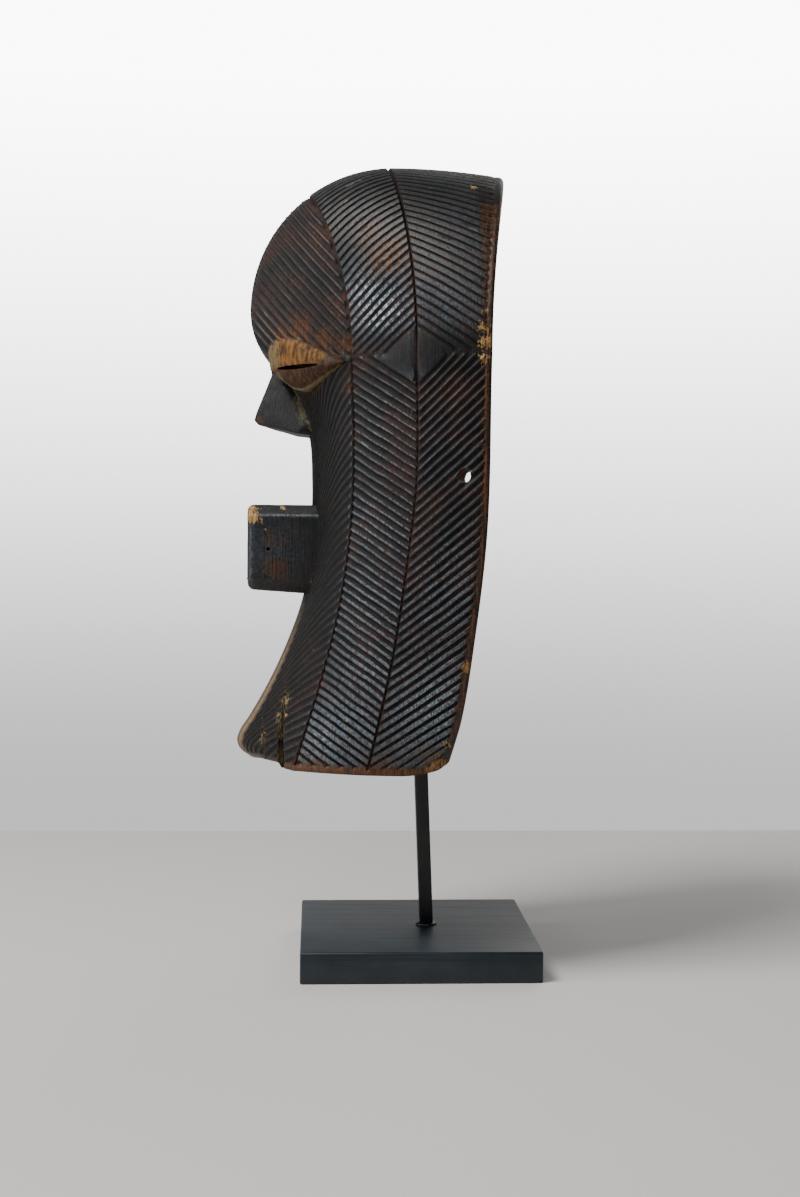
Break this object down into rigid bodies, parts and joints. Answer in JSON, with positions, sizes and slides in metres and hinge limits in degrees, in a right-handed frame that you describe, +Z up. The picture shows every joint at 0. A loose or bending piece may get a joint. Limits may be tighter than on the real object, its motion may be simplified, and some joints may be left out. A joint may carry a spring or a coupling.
{
  "type": "songye kifwebe face mask on a stand",
  "caption": "Hollow carved wooden face mask with herringbone grooves, slit eyes, wedge nose and box mouth, on a square bar and flat base.",
  "frame": {"origin": "centre of the base's underside, where it rests on the table", "axes": "+Z up, -Y the way the mask faces, +X the mask's own left side"},
  "size_m": [0.1898, 0.177, 0.4704],
  "materials": {
    "carved_wood": "dark stained and waxed, worn to tan at the edges",
    "black_bar": "satin black paint",
    "black_board": "brushed satin black paint"
  },
  "bodies": {
    "root": {"mask": "carved_wood", "stand_bar": "black_bar", "stand_base": "black_board"}
  },
  "joints": []
}
